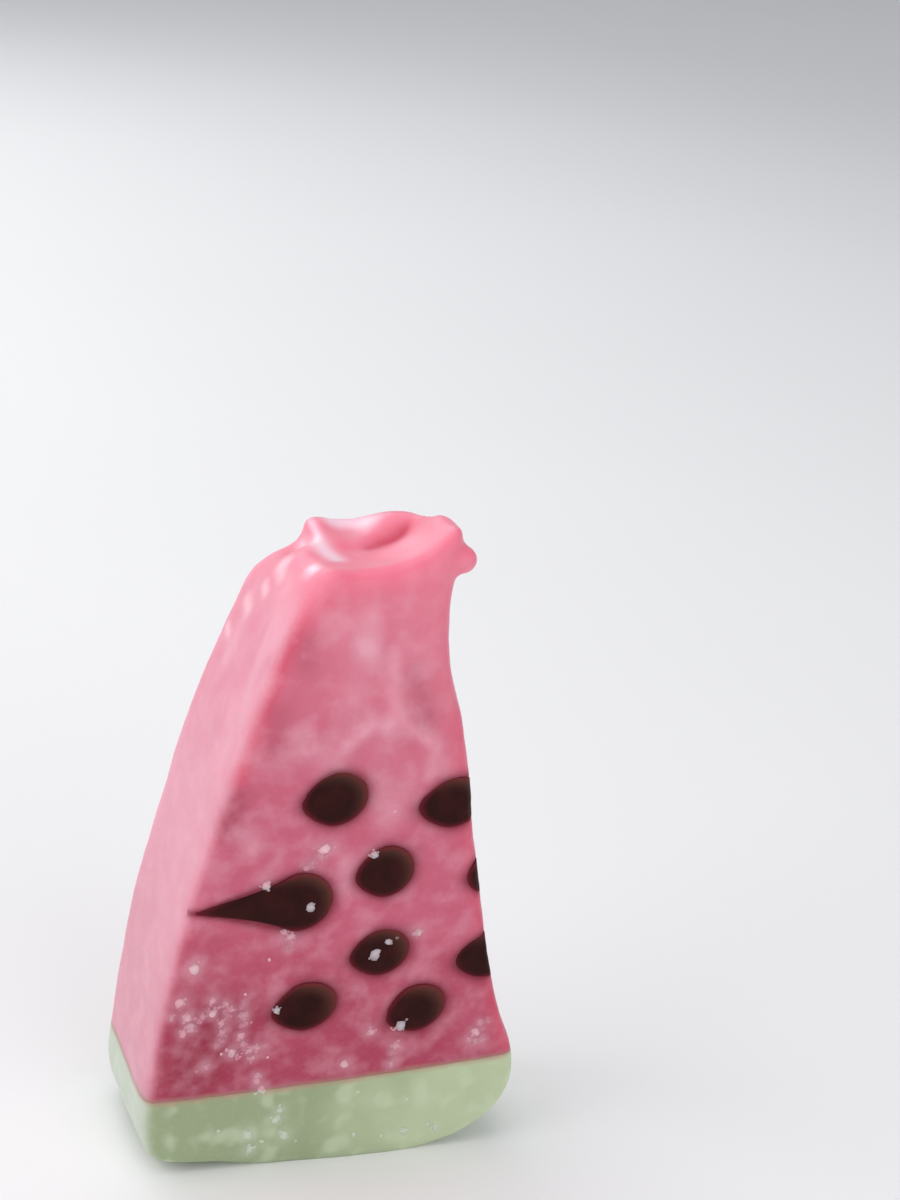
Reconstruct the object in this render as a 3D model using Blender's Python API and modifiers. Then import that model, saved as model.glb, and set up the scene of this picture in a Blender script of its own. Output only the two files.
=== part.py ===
"""Watermelon ice lolly, half eaten: a tapering slab of pink ice on a green base, with chocolate seeds.

Metres, +Z up. The front faces -Y, and the origin is under the middle of the lolly, on the surface it stands on.
The two ices are one slab cut at the line where they meet, so their faces run on into each other. The seeds lie
flush in pockets in the pink ice, and a seed at the right-hand corner is cut off by the side of the slab.
"""
import math
import random

import bmesh
import bpy
from mathutils import Matrix, Vector, noise

# The slab as moulded, before anyone ate from it
THICKNESS = 0.0242
FRONT = -1                  # the side of the slab towards -Y
BACK = 1
GAP = 0.0003                # between two pieces that touch
WELD = 0.000002             # corners this close are one
SIDE_RIGHT = (              # (x, z) up the right-hand side, hollowed by licking near its top
    (0.0150, -0.0006), (0.0240, 0.0025), (0.0290, 0.0075), (0.0299, 0.0135), (0.0254, 0.0260),
    (0.0185, 0.0500), (0.0131, 0.0740), (0.0095, 0.0850), (0.0085, 0.0920), (0.0094, 0.1010),
)
SIDE_LEFT = (               # (x, z) down the left-hand side
    (-0.0106, 0.1020), (-0.0162, 0.0870), (-0.0214, 0.0695), (-0.0260, 0.0470), (-0.0286, 0.0280),
    (-0.0294, 0.0150), (-0.0291, 0.0055), (-0.0276, 0.0024), (-0.0180, 0.0008), (-0.0100, -0.0006),
)
BLANK_TOP = 0.112           # the uneaten slab runs on past the bite
OUTLINE_STEPS = 6           # straight pieces between two outline points

# Where the pink ice meets the green one: a line that rises to the right and to the back
MEET_HEIGHT = 0.0148
MEET_RISE_X = 0.055
MEET_SAG = 0.0007           # how far the line hangs below a straight one

# Bites and licks, each a scoop: middle, three radii, turn about the vertical in degrees
SCOOPS = (
    ((-0.0060, 0.0010, 0.1122), (0.0190, 0.0300, 0.0160), 0.0),
    ((-0.0160, 0.0120, 0.1050), (0.0098, 0.0180, 0.0156), 0.0),
    ((0.0080, 0.0292, 0.1550), (0.0600, 0.0600, 0.0600), 0.0),
    ((0.0080, -0.0120, 0.1445), (0.0400, 0.0400, 0.0400), 0.0),
    ((0.0030, -0.0014, 0.0988), (0.0062, 0.0018, 0.0030), 47.0),
)
DENT = ((0.0052, -0.0131, 0.0787), (0.0060, 0.0025, 0.0019), 55.0)  # lick mark, turned in the front face
NUB = ((0.0088, -0.0098, 0.0992), 0.0021)                           # frozen drip at the rim

# Melting
VOXEL = 0.0010
EDGE_ROUNDS = 8             # smoothing passes over the whole slab
MELT_ROUNDS = 24            # more of them towards the bite
MELT_FROM = 0.050
MELT_TO = 0.095
WAVE_HEIGHT = 0.0005        # soft waves left by melting and licking
WAVE_LENGTH = 0.018
BODY_TRIANGLES = 3900

# Seeds on the front: x, z, length, height, tilt in degrees; the tip points left
SEED_DEPTH = 0.0034
SEED_TIP = 0.42             # how much narrower the tip is than the round end
SEED_ROWS = (
    (-0.0058, 0.0627, 0.0100, 0.0088, 9.0),
    (0.0126, 0.0612, 0.0104, 0.0082, 9.0),
    (0.0034, 0.0502, 0.0092, 0.0085, 11.0),
    (0.0215, 0.0490, 0.0098, 0.0082, 10.0),
    (0.0044, 0.0363, 0.0096, 0.0080, 9.0),
    (0.0218, 0.0343, 0.0101, 0.0079, 8.0),
    (-0.0065, 0.0279, 0.0102, 0.0082, 10.0),
    (0.0115, 0.0260, 0.0097, 0.0081, 20.0),
)
TEAR = (-0.0094, 0.0459, 0.0106, 0.0096, 3.0)  # this seed smeared into a tail when the mould was filled
TEAR_TAIL = 0.0102
# Seeds on the back, which the front hides, in the same kind of rows
BACK_ROWS = (
    (0.0062, 0.0640, 0.0100, 0.0086, 8.0),
    (-0.0090, 0.0600, 0.0104, 0.0084, 12.0),
    (0.0005, 0.0498, 0.0096, 0.0086, 9.0),
    (0.0142, 0.0440, 0.0098, 0.0082, 6.0),
    (-0.0150, 0.0432, 0.0102, 0.0084, 10.0),
    (-0.0030, 0.0335, 0.0099, 0.0081, 12.0),
    (0.0120, 0.0290, 0.0104, 0.0083, 9.0),
    (-0.0178, 0.0278, 0.0100, 0.0084, 14.0),
)

# Frost: crumbs of white ice, most of them low on the left of the front face
FROST_SEED = 11
FROST_PATCHES = (           # middle x, z, half width, half height, how many
    (-0.0200, 0.0275, 0.0070, 0.0045, 8),
    (-0.0165, 0.0215, 0.0070, 0.0050, 6),
    (0.0080, 0.0200, 0.0160, 0.0035, 6),
    (0.0060, 0.0075, 0.0230, 0.0050, 7),
)
FROST_PATCHES_BACK = (
    (0.0060, 0.0220, 0.0180, 0.0060, 8),
    (-0.0040, 0.0075, 0.0220, 0.0045, 4),
)
FROST_LARGE = (             # x, z, radius
    (-0.0067, 0.0556, 0.0012), (-0.0241, 0.0358, 0.0011), (0.0136, 0.0568, 0.0010),
    (0.0098, 0.0213, 0.0011), (0.0102, 0.0394, 0.0009), (0.0222, 0.0208, 0.0009),
)
FROST_ON_SEEDS = {
    "seed_front_5": ((0.0037, 0.0364, 0.0011),),
    "seed_smeared": ((-0.0126, 0.0476, 0.0009), (-0.0076, 0.0452, 0.0009)),
}
CRUMB_LIFT = 0.2            # how far a crumb's middle stands out, in radii
FROST_SMALLEST = 0.0006
FROST_LARGEST = 0.0010

# Colours
PINK_ICE = (0.62, 0.19, 0.25)
GREEN_ICE = (0.34, 0.42, 0.24)
CHOCOLATE = (0.045, 0.016, 0.013)


def clear_scene():
    for thing in list(bpy.data.objects):
        bpy.data.objects.remove(thing, do_unlink=True)
    for group in list(bpy.data.collections):
        bpy.data.collections.remove(group)


def new_collection(name):
    group = bpy.data.collections.new(name)
    bpy.context.scene.collection.children.link(group)
    return group


def ice_material(name, colour, roughness):
    material = bpy.data.materials.new(name)
    material.use_nodes = True
    shader = material.node_tree.nodes["Principled BSDF"]
    shader.inputs["Base Color"].default_value = (*colour, 1.0)
    shader.inputs["Roughness"].default_value = roughness
    shader.inputs["Metallic"].default_value = 0.0
    return material


def new_object(name, mesh, group):
    thing = bpy.data.objects.new(name, mesh)
    group.objects.link(thing)
    return thing


def bmesh_object(name, shape, group):
    mesh = bpy.data.meshes.new(name)
    shape.to_mesh(mesh)
    shape.free()
    return new_object(name, mesh, group)


def bake_modifiers(thing):
    """Turn what the modifiers make into the object's own mesh."""
    bpy.context.view_layer.update()
    graph = bpy.context.evaluated_depsgraph_get()
    mesh = bpy.data.meshes.new_from_object(thing.evaluated_get(graph))
    thing.modifiers.clear()
    thing.data = mesh


def boolean(thing, operation, other):
    cut = thing.modifiers.new(operation.title(), 'BOOLEAN')
    cut.operation = operation
    cut.solver = 'EXACT'
    cut.object = other
    bake_modifiers(thing)


def combine(thing, operation, pieces, name):
    """One Boolean with every object of a collection, which is then emptied."""
    cut = thing.modifiers.new(name, 'BOOLEAN')
    cut.operation = operation
    cut.solver = 'EXACT'
    cut.operand_type = 'COLLECTION'
    cut.collection = pieces
    bake_modifiers(thing)
    for piece in list(pieces.objects):
        bpy.data.objects.remove(piece, do_unlink=True)


def blank_slab(group):
    """The outline as a flat curve, thickened to the slab."""
    curve = bpy.data.curves.new("slab_outline", 'CURVE')
    curve.dimensions = '2D'
    curve.fill_mode = 'BOTH'
    curve.extrude = THICKNESS / 2
    curve.resolution_u = OUTLINE_STEPS
    top = ((SIDE_RIGHT[-1][0], BLANK_TOP), (SIDE_LEFT[0][0], BLANK_TOP))
    outline = (*SIDE_RIGHT, *top, *SIDE_LEFT)
    spline = curve.splines.new('BEZIER')
    spline.bezier_points.add(len(outline) - 1)
    spline.use_cyclic_u = True
    for point, (x, z) in zip(spline.bezier_points, outline):
        point.co = (x, z, 0.0)
        straight = z == BLANK_TOP
        point.handle_left_type = point.handle_right_type = 'VECTOR' if straight else 'AUTO'
    flat = new_object("slab_curve", curve, group)
    flat.rotation_euler.x = math.radians(90)
    bpy.context.view_layer.update()
    mesh = bpy.data.meshes.new_from_object(flat.evaluated_get(bpy.context.evaluated_depsgraph_get()))
    mesh.transform(flat.matrix_world)
    bpy.data.objects.remove(flat, do_unlink=True)
    shape = bmesh.new()
    shape.from_mesh(mesh)
    bmesh.ops.remove_doubles(shape, verts=shape.verts, dist=0.00001)
    bmesh.ops.recalc_face_normals(shape, faces=shape.faces)
    return bmesh_object("slab", shape, group)


def ellipsoid(name, middle, radii, turn, group, segments=24, rings=16):
    shape = bmesh.new()
    bmesh.ops.create_uvsphere(shape, u_segments=segments, v_segments=rings, radius=1.0)
    place = Matrix.Translation(middle) @ turn @ Matrix.Diagonal((*radii, 1.0))
    bmesh.ops.transform(shape, matrix=place, verts=shape.verts)
    return bmesh_object(name, shape, group)


def bite(slab, cutters):
    """Scoop the top."""
    for number, (middle, radii, degrees) in enumerate(SCOOPS, 1):
        turn = Matrix.Rotation(math.radians(degrees), 4, 'Z')
        ellipsoid(f"scoop_{number}", middle, radii, turn, cutters)
    combine(slab, 'DIFFERENCE', cutters, "Bite")


def press_lick_mark(slab, cutters):
    middle, radii, degrees = DENT
    ellipsoid("dent", middle, radii, Matrix.Rotation(math.radians(degrees), 4, 'Y'), cutters)
    combine(slab, 'DIFFERENCE', cutters, "Lick mark")


def melt(slab):
    """Round every edge, most of all near the bite, and leave soft waves."""
    voxels = slab.modifiers.new("Voxels", 'REMESH')
    voxels.mode = 'VOXEL'
    voxels.voxel_size = VOXEL
    bake_modifiers(slab)
    melted = slab.vertex_groups.new(name="melted")
    for vertex in slab.data.vertices:
        share = (vertex.co.z - MELT_FROM) / (MELT_TO - MELT_FROM)
        melted.add([vertex.index], min(max(share, 0.0), 1.0), 'REPLACE')
    for group, rounds in (("", EDGE_ROUNDS), ("melted", MELT_ROUNDS)):
        smooth = slab.modifiers.new("Smooth", 'SMOOTH')
        smooth.factor = 0.5
        smooth.iterations = rounds
        smooth.vertex_group = group
    bake_modifiers(slab)
    for vertex in slab.data.vertices:
        wave = noise.noise(vertex.co / WAVE_LENGTH) * WAVE_HEIGHT
        vertex.co += vertex.normal * wave
    fewer = slab.modifiers.new("Fewer", 'DECIMATE')
    fewer.ratio = BODY_TRIANGLES / (2 * len(slab.data.polygons))
    bake_modifiers(slab)


def meeting_height(x):
    span = x / (THICKNESS * 1.2)
    return MEET_HEIGHT + MEET_RISE_X * x - MEET_SAG * (1.0 - min(span * span, 1.0))


def half_space(name, above, group):
    """A block whose lower or upper face is the surface where the two ices meet."""
    reach = 0.040
    steps = 12
    shape = bmesh.new()
    bmesh.ops.create_grid(shape, x_segments=steps, y_segments=1, size=reach)
    for vertex in shape.verts:
        vertex.co.z = meeting_height(vertex.co.x) + (GAP / 2 if above else -GAP / 2)
    end = BLANK_TOP + reach if above else 0.0
    skirt = bmesh.ops.extrude_face_region(shape, geom=list(shape.faces))
    for item in skirt["geom"]:
        if isinstance(item, bmesh.types.BMVert):
            item.co.z = end
    bmesh.ops.recalc_face_normals(shape, faces=shape.faces)
    return bmesh_object(name, shape, group)


def drop(name, seed, side, grow, group, tail=0.0):
    """A seed shaped like a drop, lying half sunk in the front or the back of the slab."""
    x, z, length, height, tilt = seed
    half = length / 2 + grow
    shape = bmesh.new()
    bmesh.ops.create_uvsphere(shape, u_segments=12, v_segments=8, radius=1.0)
    bmesh.ops.rotate(shape, verts=shape.verts, matrix=Matrix.Rotation(math.radians(90), 3, 'Y'))
    for vertex in shape.verts:
        along = vertex.co.x
        narrow = 1.0 - SEED_TIP * max(-along, 0.0) ** 1.5
        stretch = half + tail * max(-along - 0.35, 0.0) / 0.65
        sharp = 1.0 - 0.55 * max(-along - 0.35, 0.0) / 0.65 if tail else 1.0
        vertex.co.x = along * stretch
        vertex.co.y *= (SEED_DEPTH + grow) * narrow * sharp
        vertex.co.z *= (height / 2 + grow) * narrow * sharp
    turn = Matrix.Rotation(-math.radians(tilt), 4, 'Y')
    place = Matrix.Translation((x, side * THICKNESS / 2, z)) @ turn
    if side > 0:
        place = place @ Matrix.Rotation(math.radians(180), 4, 'Z')
    bmesh.ops.transform(shape, matrix=place, verts=shape.verts)
    return bmesh_object(name, shape, group)


def seed_list():
    """Every seed as (node name, measures, side, tail)."""
    front = [(f"seed_front_{number}", row, FRONT, 0.0) for number, row in enumerate(SEED_ROWS, 1)]
    back = [(f"seed_back_{number}", row, BACK, 0.0) for number, row in enumerate(BACK_ROWS, 1)]
    return [*front, ("seed_smeared", TEAR, FRONT, TEAR_TAIL), *back]


def keeps_clear(spot, side, taken):
    """True where a crumb touches no seed, no other crumb and not the line between the ices."""
    x, z, radius = spot
    for _, (seed_x, seed_z, length, _height, _tilt), seed_side, tail in seed_list():
        if side == seed_side and abs(z - seed_z) < length / 2 + radius:
            if -length / 2 - tail - radius < x - seed_x < length / 2 + radius:
                return False
    if abs(z - meeting_height(x)) < radius + 2 * GAP:
        return False
    return all(math.hypot(x - a, z - b) > radius + c for a, b, c in taken)


def frost_spots(side, large, patches):
    """Where the crumbs lie on a face: the large ones, then a seeded scatter over the patches."""
    draw = random.Random(FROST_SEED)
    wanted = list(large)
    for x, z, half_width, half_height, count in patches:
        for _ in range(count):
            spot_x = x + draw.uniform(-half_width, half_width)
            spot_z = z + draw.uniform(-half_height, half_height)
            wanted.append((spot_x, spot_z, draw.uniform(FROST_SMALLEST, FROST_LARGEST)))
    spots = []
    for spot in wanted:
        if keeps_clear(spot, side, spots):
            spots.append(spot)
    return spots


def crumb(name, x, y, z, radius, draw, group):
    shape = bmesh.new()
    bmesh.ops.create_icosphere(shape, subdivisions=1, radius=radius)
    for vertex in shape.verts:
        vertex.co *= draw.uniform(0.8, 1.15)
    turn = Matrix.Rotation(draw.uniform(0.0, math.tau), 4, Vector((0.3, 1.0, 0.2)))
    bmesh.ops.transform(shape, matrix=Matrix.Translation((x, y, z)) @ turn, verts=shape.verts)
    return bmesh_object(name, shape, group)


def face_depth(thing, side, x, z):
    """The y of an object's front or back at this width and height, or None beside the object."""
    hit, place, _normal, _face = thing.ray_cast((x, side * THICKNESS, z), (0.0, -side, 0.0))
    return place.y if hit else None


def frost(thing, side, spots, crumbs):
    """Lay crumbs of frost on the front or the back of an object, to be fused to it."""
    draw = random.Random(FROST_SEED + len(spots))
    bpy.context.view_layer.update()
    for number, (x, z, radius) in enumerate(spots):
        depth = face_depth(thing, side, x, z)
        if depth is not None:
            crumb(f"crumb_{number}", x, depth + side * CRUMB_LIFT * radius, z, radius, draw, crumbs)


def loose_bodies(shape):
    """The vertices of a mesh, one set for each body that hangs together."""
    waiting = set(shape.verts)
    bodies = []
    while waiting:
        reached = {waiting.pop()}
        edge_of_search = list(reached)
        while edge_of_search:
            vertex = edge_of_search.pop()
            for edge in vertex.link_edges:
                neighbour = edge.other_vert(vertex)
                if neighbour not in reached:
                    reached.add(neighbour)
                    edge_of_search.append(neighbour)
        waiting -= reached
        bodies.append(reached)
    return bodies


def tidy(thing, material):
    """Drop loose scraps that the cuts leave, and finish the surface."""
    shape = bmesh.new()
    shape.from_mesh(thing.data)
    bmesh.ops.triangulate(shape, faces=shape.faces)
    bmesh.ops.remove_doubles(shape, verts=shape.verts, dist=WELD)
    bmesh.ops.dissolve_degenerate(shape, edges=shape.edges, dist=WELD)
    bmesh.ops.triangulate(shape, faces=shape.faces)
    bodies = loose_bodies(shape)
    for scrap in sorted(bodies, key=len)[:-1]:
        bmesh.ops.delete(shape, geom=list(scrap), context='VERTS')
    shape.to_mesh(thing.data)
    shape.free()
    thing.data.name = thing.name
    thing.data.materials.clear()
    thing.data.materials.append(material)
    thing.data.shade_smooth()
    thing.data.set_sharp_from_angle(angle=math.radians(40))


def main():
    clear_scene()
    lolly = new_collection("watermelon_ice_lolly")
    cutters = new_collection("cutters")
    pink = ice_material("pink_ice", PINK_ICE, 0.35)
    green = ice_material("green_ice", GREEN_ICE, 0.45)
    chocolate = ice_material("chocolate", CHOCOLATE, 0.55)

    slab = blank_slab(cutters)
    scoops = new_collection("scoops")
    bite(slab, scoops)
    melt(slab)
    press_lick_mark(slab, scoops)

    flesh = new_object("flesh", slab.data.copy(), lolly)
    boolean(flesh, 'INTERSECT', half_space("above", True, cutters))
    rind = new_object("rind", slab.data.copy(), lolly)
    boolean(rind, 'INTERSECT', half_space("below", False, cutters))

    pockets = new_collection("pockets")
    seeds = []
    for name, row, side, tail in seed_list():
        seed = drop(name, row, side, 0.0, lolly, tail)
        boolean(seed, 'INTERSECT', flesh)
        seeds.append(seed)
    for name, row, side, tail in seed_list():
        drop(f"pocket_{name}", row, side, GAP, pockets, tail)
    combine(flesh, 'DIFFERENCE', pockets, "Pockets")

    crumbs = new_collection("crumbs")
    ellipsoid("nub", NUB[0], (NUB[1],) * 3, Matrix.Identity(4), crumbs, 12, 8)
    for ice, above in ((flesh, True), (rind, False)):
        for side, large, patches in ((FRONT, FROST_LARGE, FROST_PATCHES), (BACK, (), FROST_PATCHES_BACK)):
            spots = frost_spots(side, large, patches)
            here = [spot for spot in spots if (spot[1] > meeting_height(spot[0])) == above]
            frost(ice, side, here, crumbs)
        combine(ice, 'UNION', crumbs, "Frost")
    for seed_name, spots in FROST_ON_SEEDS.items():
        frost(lolly.objects[seed_name], FRONT, spots, crumbs)
        combine(lolly.objects[seed_name], 'UNION', crumbs, "Frost")

    for thing, material in ((flesh, pink), (rind, green), *((seed, chocolate) for seed in seeds)):
        tidy(thing, material)
    for guide in cutters.objects:
        guide.hide_render = True
        guide.display_type = 'WIRE'


main()
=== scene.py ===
# %% [markdown]
# # A half-eaten watermelon ice lolly
#
# This is a moulded ice lolly in the form of a slice of watermelon: pink fruit ice, a pale green base, and
# chocolate drops for pips. Somebody has bitten and licked the top away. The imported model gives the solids
# at their real size. Here each solid is replaced by a finer one of the same form, because ice has a
# surface that a coarse solid can't have: rounded wet rims, slow waves, soft hollows, and crumbs of frost.
#
# Everything is in metres. The front of the lolly faces -Y and +Z is up.

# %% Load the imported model
import math
import random

import bpy
from mathutils import Matrix, Vector, bvhtree, kdtree, noise as waves


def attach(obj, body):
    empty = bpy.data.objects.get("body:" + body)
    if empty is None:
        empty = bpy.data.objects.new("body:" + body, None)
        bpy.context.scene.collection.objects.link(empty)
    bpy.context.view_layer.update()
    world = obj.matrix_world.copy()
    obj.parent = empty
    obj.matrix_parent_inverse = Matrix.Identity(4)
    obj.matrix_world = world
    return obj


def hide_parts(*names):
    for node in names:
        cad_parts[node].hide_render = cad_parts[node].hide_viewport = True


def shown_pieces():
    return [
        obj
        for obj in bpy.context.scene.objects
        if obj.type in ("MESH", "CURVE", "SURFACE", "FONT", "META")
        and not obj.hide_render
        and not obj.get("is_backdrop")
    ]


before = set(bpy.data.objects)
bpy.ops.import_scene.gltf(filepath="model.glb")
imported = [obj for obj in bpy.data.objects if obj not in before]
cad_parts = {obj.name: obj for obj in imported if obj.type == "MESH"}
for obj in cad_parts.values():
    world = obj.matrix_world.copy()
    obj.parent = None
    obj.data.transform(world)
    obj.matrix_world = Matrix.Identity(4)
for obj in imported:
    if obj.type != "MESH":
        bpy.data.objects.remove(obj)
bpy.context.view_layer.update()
MM = 0.001
print("nodes:", sorted(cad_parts))

# %% [markdown]
# ## The camera
#
# The photograph looks down on the lolly from the front left, from about 0.4 m, with the moderate field of
# view of a cropped phone picture. The camera is placed by three directions: what it sees as right, what
# it sees as up, and the way back from the object to the lens. With a 36 mm sensor along the picture's
# longer side, 72 mm is the lens.

# %% Camera
CAMERA_PLACE = Vector((-0.11796, -0.30007, 0.21925))
CAMERA_RIGHT = Vector((0.92858, -0.34649, 0.13300))
CAMERA_UP = Vector((0.01541, 0.39406, 0.91896))
CAMERA_BACK = Vector((-0.37082, -0.85127, 0.37125))
bpy.ops.object.camera_add()
camera = bpy.context.object
camera.name = "camera"
turn = Matrix((CAMERA_RIGHT, CAMERA_UP, CAMERA_BACK)).transposed().to_4x4()
camera.matrix_world = Matrix.Translation(CAMERA_PLACE) @ turn
camera.data.lens = 72
camera.data.sensor_width = 36
camera.data.clip_start = 0.01
bpy.context.scene.camera = camera
print("camera at", [round(value, 3) for value in camera.location])

# %% [markdown]
# ## The studio
#
# The light in the photograph is soft daylight from the left and a little from behind, which makes the
# left-hand side and the bite pale and leaves the front in a deeper colour. One large panel on the left
# and one overhead give that. A wide, weak panel in front keeps the front readable, and a long low one
# behind gives the bite its wet gleam. The floor is plain and pale. The world lamp is a pale grey, and the
# colours are shown as they are, with the Standard view.

# %% Floor, panels and world
FLOOR_SIZE = 6.0
ROOM_COLOUR = (0.93, 0.95, 1.0, 1.0)
ROOM_STRENGTH = 0.48


def select_only(*things):
    bpy.ops.object.select_all(action='DESELECT')
    for thing in things:
        thing.select_set(True)
    bpy.context.view_layer.objects.active = things[0]


def panel(name, place, aim, width, height, watts, colour):
    """A soft light: a glowing rectangle that looks from its place towards its aim."""
    bpy.ops.object.light_add(type='AREA', location=place)
    lamp = bpy.context.object
    lamp.name = name
    lamp.rotation_euler = (Vector(place) - Vector(aim)).to_track_quat('Z', 'Y').to_euler()
    lamp.data.shape = 'RECTANGLE'
    lamp.data.size = width
    lamp.data.size_y = height
    lamp.data.energy = watts
    lamp.data.color = colour


MIDDLE = (0.0, 0.0, 0.055)
panel("left_window", (-0.80, -0.05, 0.60), MIDDLE, 0.8, 0.8, 3.4, (1.0, 0.98, 0.98))
panel("front_fill", (0.35, -0.95, 0.35), MIDDLE, 0.9, 0.7, 3.05, (1.0, 0.97, 0.96))
panel("back_gleam", (-0.25, 0.75, 0.42), MIDDLE, 0.8, 0.30, 1.7, (1.0, 1.0, 1.0))
panel("ceiling", (-0.15, 0.10, 0.95), MIDDLE, 0.8, 0.8, 2.6, (1.0, 0.99, 0.99))

bpy.ops.mesh.primitive_plane_add(size=FLOOR_SIZE)
floor = bpy.context.object
floor.name = "floor"
floor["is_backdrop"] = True

world = bpy.data.worlds.new("pale_room")
bpy.context.scene.world = world
world.use_nodes = True
background = world.node_tree.nodes["Background"]
background.inputs["Color"].default_value = ROOM_COLOUR
background.inputs["Strength"].default_value = ROOM_STRENGTH
bpy.context.scene.view_settings.view_transform = 'Standard'

# %% [markdown]
# ## Arithmetic on materials
#
# A material is a network of nodes, but it reads better as a formula. `Wire` wraps one socket, and + - * /
# on wires add Math nodes. Anything else comes from `node`, which takes the node's type, its settings and
# what goes into it.

# %% The Wire class
class Wire:
    """The output of a node, which can be used in a formula."""

    def __init__(self, tree, socket=None):
        self.tree = tree
        self.socket = socket

    def node(self, kind, settings=None, inputs=None, output=0):
        made = self.tree.nodes.new(kind)
        for name, value in (settings or {}).items():
            setattr(made, name, value)
        for key, value in (inputs or {}).items():
            if isinstance(value, Wire):
                self.tree.links.new(value.socket, made.inputs[key])
            else:
                made.inputs[key].default_value = value
        return Wire(self.tree, made.outputs[output])

    def math(self, operation, *values):
        return self.node("ShaderNodeMath", {"operation": operation}, dict(enumerate(values)))

    def __add__(self, other):
        return self.math('ADD', self, other)

    __radd__ = __add__

    def __sub__(self, other):
        return self.math('SUBTRACT', self, other)

    def __rsub__(self, other):
        return self.math('SUBTRACT', other, self)

    def __mul__(self, other):
        return self.math('MULTIPLY', self, other)

    __rmul__ = __mul__

    def step(self, low, high):
        """0 below low, 1 above high, and a soft rise between."""
        settings = {"interpolation_type": 'SMOOTHSTEP', "clamp": True}
        return self.node("ShaderNodeMapRange", settings, {0: self, 1: low, 2: high, 3: 0.0, 4: 1.0})

    def mix(self, share, first, second):
        """The first colour where share is 0, the second where it is 1."""
        inputs = {0: share, 6: first, 7: second}
        return self.node("ShaderNodeMix", {"data_type": 'RGBA'}, inputs, output=2)


print("formulas ready")

# %% [markdown]
# ## Helpers for materials
#
# Every material starts from its shader and from the place on the object. Cloudy noise, a value painted on
# the mesh, an uneven normal and a plain colour get a short name each.

# %% Helpers for materials
def new_material(name):
    """An empty material: its shader, a bare wire to start formulas from, and the place on the object."""
    material = bpy.data.materials.new(name)
    material.use_nodes = True
    shader = material.node_tree.nodes["Principled BSDF"]
    wire = Wire(material.node_tree)
    return material, shader, wire, wire.node("ShaderNodeTexCoord", output=3)


def plug(shader, **values):
    """Sets sockets of the shader, named in lower case, by a number, a colour or a wire."""
    for name, value in values.items():
        socket = shader.inputs[name.replace("_", " ").title().replace("Ior", "IOR")]
        if isinstance(value, Wire):
            value.tree.links.new(value.socket, socket)
        else:
            socket.default_value = value


def noise(wire, place, size, detail=2.0, roughness=0.5):
    """Cloudy noise round 0.5, with patches about as large as size, in metres."""
    inputs = {"Vector": place, "Scale": 1.0 / size, "Detail": detail, "Roughness": roughness}
    return wire.node("ShaderNodeTexNoise", None, inputs)


def painted(wire, name):
    """A value that was worked out for each point of the mesh and stored on it."""
    return wire.node("ShaderNodeAttribute", {"attribute_name": name}, output=2)


def axis(wire, place, number):
    """The x, y or z of a place, for the number 0, 1 or 2."""
    return wire.node("ShaderNodeSeparateXYZ", None, {0: place}, output=number)


def bumps(wire, relief, strength, distance=0.0002):
    """A normal made uneven by a relief."""
    inputs = {"Strength": strength, "Distance": distance, "Height": relief}
    return wire.node("ShaderNodeBump", None, inputs)


def rgb(red, green, blue):
    """A colour from the numbers 0 to 255 that a picture shows, made linear."""
    return tuple((value / 255.0) ** 2.2 for value in (red, green, blue)) + (1.0,)


print("helpers ready")

# %% [markdown]
# ## The uneaten slab
#
# The mould gives the slab an outline and an even thickness. A closed Bezier curve through a few points on
# each side, extruded both ways, is that slab. It runs on past the bite, because the bite is cut
# afterwards.

# %% Slab from its outline
THICKNESS = 0.0242
FRONT = -1
BACK = 1
SIDE_RIGHT = (
    (0.0150, -0.0006), (0.0240, 0.0025), (0.0290, 0.0075), (0.0299, 0.0135), (0.0254, 0.0260),
    (0.0185, 0.0500), (0.0131, 0.0740), (0.0095, 0.0850), (0.0085, 0.0920), (0.0094, 0.1010),
)
SIDE_LEFT = (
    (-0.0106, 0.1020), (-0.0162, 0.0870), (-0.0214, 0.0695), (-0.0260, 0.0470), (-0.0286, 0.0280),
    (-0.0294, 0.0150), (-0.0291, 0.0055), (-0.0276, 0.0024), (-0.0180, 0.0008), (-0.0100, -0.0006),
)
SLAB_TOP = 0.112


def settle(thing):
    """Moves an object's place, turn and size into its mesh, and leaves the object at the origin."""
    select_only(thing)
    bpy.ops.object.transform_apply(location=True, rotation=True, scale=True)


def apply(thing, kind, **settings):
    """Adds a modifier, sets it and applies it."""
    select_only(thing)
    modifier = thing.modifiers.new(kind.title(), kind)
    for name, value in settings.items():
        setattr(modifier, name, value)
    bpy.ops.object.modifier_apply(modifier=modifier.name)


def make_slab():
    outline = (*SIDE_RIGHT, (SIDE_RIGHT[-1][0], SLAB_TOP), (SIDE_LEFT[0][0], SLAB_TOP), *SIDE_LEFT)
    bpy.ops.curve.primitive_bezier_circle_add(rotation=(math.radians(90), 0.0, 0.0))
    slab = bpy.context.object
    slab.name = "slab"
    curve = slab.data
    curve.dimensions = '2D'
    curve.fill_mode = 'BOTH'
    curve.extrude = THICKNESS / 2
    curve.resolution_u = 12
    spline = curve.splines[0]
    spline.bezier_points.add(len(outline) - len(spline.bezier_points))
    for point, (x, z) in zip(spline.bezier_points, outline):
        point.co = (x, z, 0.0)
        kind = 'VECTOR' if z == SLAB_TOP else 'AUTO'
        point.handle_left_type = kind
        point.handle_right_type = kind
    select_only(slab)
    bpy.ops.object.convert(target='MESH')
    settle(slab)
    bpy.ops.object.mode_set(mode='EDIT')
    bpy.ops.mesh.select_all(action='SELECT')
    bpy.ops.mesh.remove_doubles(threshold=0.00001)
    bpy.ops.mesh.normals_make_consistent(inside=False)
    bpy.ops.object.mode_set(mode='OBJECT')
    return slab


slab = make_slab()
print("slab corners:", len(slab.data.vertices))

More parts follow.
